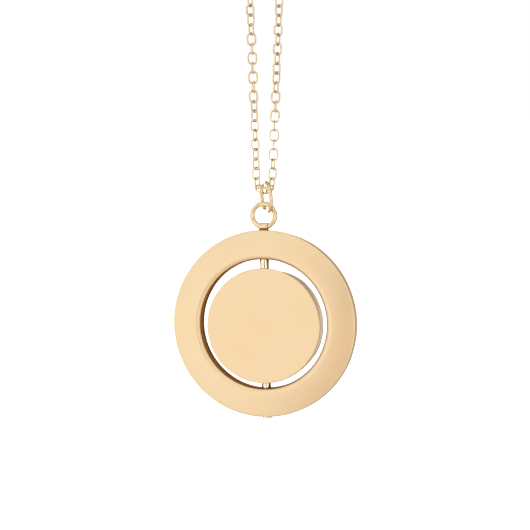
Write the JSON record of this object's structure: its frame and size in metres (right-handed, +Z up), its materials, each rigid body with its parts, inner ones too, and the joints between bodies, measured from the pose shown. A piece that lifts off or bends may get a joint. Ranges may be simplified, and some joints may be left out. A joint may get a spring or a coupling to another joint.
{
  "type": "pendant necklace",
  "caption": "Circle pendant: a flat disc that spins on an upright pin inside a domed ring frame, on a fine cable chain with a clasp.",
  "frame": {"origin": "the underside of the chain's top link at the top of the loop, where a peg or hook carries the necklace", "axes": "+Z up along the hanging necklace, -Y the front that faces the viewer, +X to the viewer's right"},
  "size_m": [0.035, 0.0056, 0.2576],
  "materials": {
    "satin_gold": "fine satin, gold-coloured coating on steel",
    "polished_gold": "polished, gold-coloured coating on steel"
  },
  "bodies": {
    "necklace": {"chain_left": "polished_gold", "chain_right": "polished_gold", "clasp": "polished_gold", "clasp_ring": "polished_gold", "end_ring": "polished_gold", "jump_ring": "polished_gold"},
    "bail": {"bail_ring": "polished_gold"},
    "pendant": {"frame": "satin_gold", "pivot_pin": "polished_gold"},
    "disc": {"disc": "satin_gold"}
  },
  "joints": [
    {"name": "bail_swing", "type": "hinge", "parent": "necklace", "child": "bail", "pos_m": [0.00059, 0, -0.21746], "axis": [0, 1, 0], "range_deg": [-60, 60]},
    {"name": "frame_tip", "type": "hinge", "parent": "bail", "child": "pendant", "pos_m": [-0.00014, 0, -0.22013], "axis": [0.9998, 0, 0.0175], "range_deg": [-90, 90]},
    {"name": "disc_spin", "type": "hinge", "parent": "pendant", "child": "disc", "pos_m": [0.00018, 0, -0.23831], "axis": [-0.0175, 0, 0.9998], "continuous": true}
  ]
}
